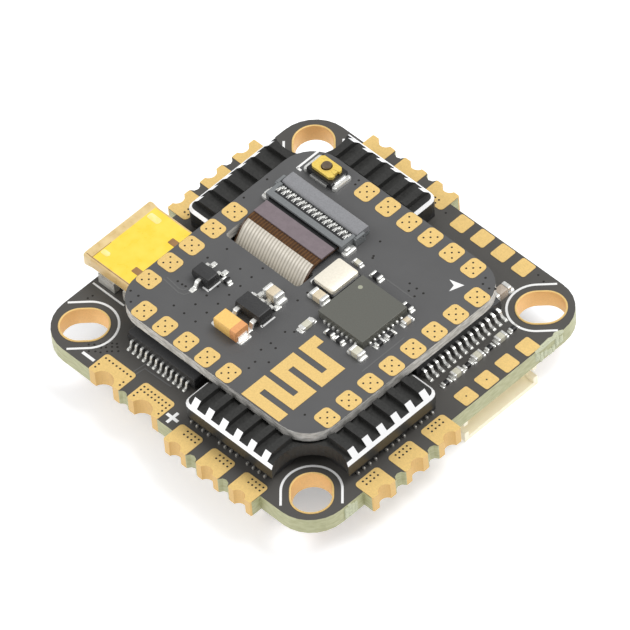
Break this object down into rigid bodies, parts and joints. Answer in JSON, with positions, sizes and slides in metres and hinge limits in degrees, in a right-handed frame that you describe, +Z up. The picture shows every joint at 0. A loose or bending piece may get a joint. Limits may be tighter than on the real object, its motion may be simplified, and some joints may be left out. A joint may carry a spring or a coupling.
{
  "type": "flight controller board",
  "caption": "Square drone flight controller: main board with castellated motor pads, finned heat sinks and corner slots, and a radio board joined by a flat cable.",
  "frame": {"origin": "centre of the four mounting slots in plan, at the level of the fin tops it stands on; the main board's underside is 3.0 mm above it", "axes": "+Z up, away from the table; -X towards the USB port, +X towards the wire socket; -Y towards the battery pads"},
  "size_m": [0.034, 0.034, 0.0091],
  "materials": {
    "main_mask": "near-black solder mask over glass-fibre laminate, satin",
    "upper_mask": "dark grey solder mask over glass-fibre laminate, satin",
    "plated_gold": "gold-plated copper, satin",
    "anodised_black": "black anodised aluminium, bright machined chamfer",
    "chip_plastic": "black moulding compound, matte",
    "tinned_metal": "tinned metal, satin",
    "polyimide_film": "yellow polyimide film, glossy",
    "natural_nylon": "natural nylon, cream white",
    "socket_plastic": "dark grey moulded plastic",
    "latch_plastic": "mid grey moulded plastic",
    "flex_film": "flat cable film with bright conductors",
    "button_brass": "gold-plated pressed cover",
    "button_steel": "steel, satin",
    "crystal_lid": "pale gold-plated lid on a ceramic package",
    "capacitor_ceramic": "beige ceramic with tinned ends",
    "tantalum_resin": "orange-yellow resin with a darker band",
    "ferrite": "dark grey ferrite"
  },
  "bodies": {
    "root": {"main_board": "main_mask", "upper_board": "upper_mask", "slot_liner_left": "plated_gold", "slot_liner_front": "plated_gold", "slot_liner_right": "plated_gold", "slot_liner_rear": "plated_gold", "board_spacer_left": "tinned_metal", "board_spacer_right": "tinned_metal", "heat_sink_top_front": "anodised_black", "heat_sink_top_rear": "anodised_black", "heat_sink_bottom_front": "anodised_black", "heat_sink_bottom_rear": "anodised_black", "power_transistor_top_01": "chip_plastic", "power_transistor_top_02": "chip_plastic", "power_transistor_top_03": "chip_plastic", "power_transistor_top_04": "chip_plastic", "power_transistor_top_05": "chip_plastic", "power_transistor_top_06": "chip_plastic", "power_transistor_top_07": "chip_plastic", "power_transistor_top_08": "chip_plastic", "power_transistor_top_09": "chip_plastic", "power_transistor_top_10": "chip_plastic", "power_transistor_top_11": "chip_plastic", "power_transistor_top_12": "chip_plastic", "power_transistor_bottom_01": "chip_plastic", "power_transistor_bottom_02": "chip_plastic", "power_transistor_bottom_03": "chip_plastic", "power_transistor_bottom_04": "chip_plastic", "power_transistor_bottom_05": "chip_plastic", "power_transistor_bottom_06": "chip_plastic", "power_transistor_bottom_07": "chip_plastic", "power_transistor_bottom_08": "chip_plastic", "power_transistor_bottom_09": "chip_plastic", "power_transistor_bottom_10": "chip_plastic", "power_transistor_bottom_11": "chip_plastic", "power_transistor_bottom_12": "chip_plastic", "usb_shell": "tinned_metal", "usb_tongue": "chip_plastic", "usb_tape": "polyimide_film", "wire_socket": "natural_nylon", "flex_socket_upper": "socket_plastic", "flex_socket_lower": "socket_plastic", "flex_cable": "flex_film", "button_base": "chip_plastic", "button_dome": "button_steel", "button_cover": "button_brass", "radio_chip": "chip_plastic", "regulator": "chip_plastic", "transistor": "chip_plastic", "crystal": "crystal_lid", "ceramic_capacitor": "capacitor_ceramic", "tantalum_capacitor": "tantalum_resin", "video_chip": "chip_plastic", "driver_chip": "chip_plastic", "processor_chip": "chip_plastic", "gyro_chip": "chip_plastic", "power_inductor": "ferrite"},
    "plunger": {"button_plunger": "button_steel"},
    "upper_latch": {"flex_latch_upper": "latch_plastic"},
    "lower_latch": {"flex_latch_lower": "latch_plastic"}
  },
  "joints": [
    {"name": "button_press", "type": "slide", "parent": "root", "child": "plunger", "axis": [0, 0, -1], "range_m": [0, 0.00015], "stiffness_N_per_m": 10700, "deforming": ["button_dome"]},
    {"name": "upper_latch_flip", "type": "hinge", "parent": "root", "child": "upper_latch", "pos_m": [-0.0051, 0.00642, 0.00846], "axis": [1, 0, 0], "range_deg": [0, 90]},
    {"name": "lower_latch_flip", "type": "hinge", "parent": "root", "child": "lower_latch", "pos_m": [-0.0051, -0.00522, 0.00526], "axis": [-1, 0, 0], "range_deg": [0, 90]}
  ]
}
